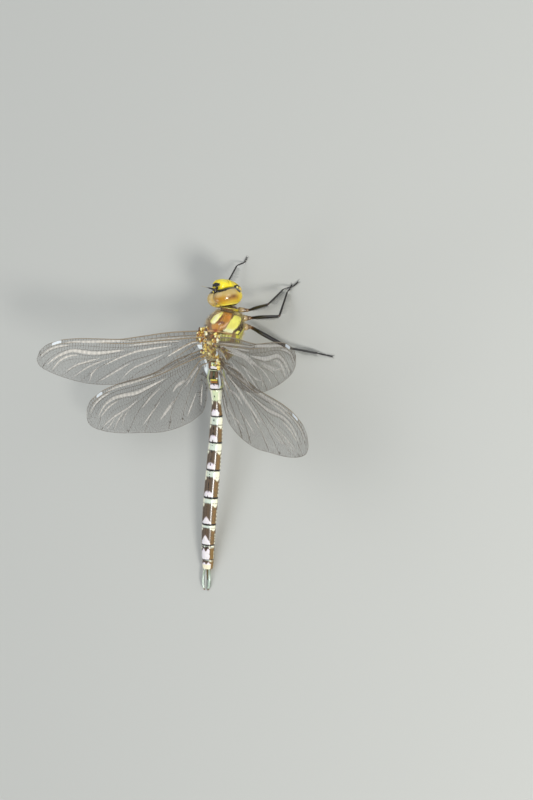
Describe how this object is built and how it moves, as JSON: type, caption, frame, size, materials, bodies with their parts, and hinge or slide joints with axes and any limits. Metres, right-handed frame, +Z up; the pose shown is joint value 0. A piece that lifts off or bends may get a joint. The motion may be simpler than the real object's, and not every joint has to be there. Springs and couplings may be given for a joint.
{
  "type": "dragonfly",
  "caption": "Life-size hawker dragonfly just out of its larval skin, clear wings spread, at rest on its feet and the tip of its long banded abdomen.",
  "frame": {"origin": "middle of the model's box, on the floor", "axes": "+Y the way the head faces, +X to the animal's right, +Z up"},
  "size_m": [0.0934, 0.08, 0.0329],
  "materials": {
    "eye": "glossy tan and yellow",
    "face": "glossy bright yellow",
    "head": "glossy black",
    "feeler": "glossy black",
    "thorax": "glossy brown with pale yellow stripes",
    "abdomen": "glossy pale grey-green with brown and black bands",
    "clasper": "glossy pale blue-green",
    "wing": "clear glossy membrane with fine dark veins",
    "coxa": "glossy brown",
    "leg": "glossy black"
  },
  "bodies": {
    "root": {"abdomen_s01": "abdomen", "abdomen_s02": "abdomen", "abdomen_s03": "abdomen", "abdomen_s04": "abdomen", "abdomen_s05": "abdomen", "abdomen_s06": "abdomen", "abdomen_s07": "abdomen", "abdomen_s08": "abdomen", "abdomen_s09": "abdomen", "abdomen_s10": "abdomen", "antenna_L": "feeler", "antenna_R": "feeler", "cercus_L": "clasper", "cercus_R": "clasper", "coxa_fore_L": "coxa", "coxa_fore_R": "coxa", "coxa_hind_L": "coxa", "coxa_hind_R": "coxa", "coxa_mid_L": "coxa", "coxa_mid_R": "coxa", "epiproct": "clasper", "eye_L": "eye", "eye_R": "eye", "face": "face", "femur_fore_L": "leg", "femur_fore_R": "leg", "femur_hind_L": "leg", "femur_hind_R": "leg", "femur_mid_L": "leg", "femur_mid_R": "leg", "forewing_L": "wing", "forewing_R": "wing", "head": "head", "hindwing_L": "wing", "hindwing_R": "wing", "hinge_forewing_L": "thorax", "hinge_forewing_R": "thorax", "hinge_hindwing_L": "thorax", "hinge_hindwing_R": "thorax", "labrum": "face", "neck": "thorax", "prothorax": "thorax", "tarsus_fore_L": "leg", "tarsus_fore_R": "leg", "tarsus_hind_L": "leg", "tarsus_hind_R": "leg", "tarsus_mid_L": "leg", "tarsus_mid_R": "leg", "thorax": "thorax", "tibia_fore_L": "leg", "tibia_fore_R": "leg", "tibia_hind_L": "leg", "tibia_hind_R": "leg", "tibia_mid_L": "leg", "tibia_mid_R": "leg"}
  },
  "joints": []
}
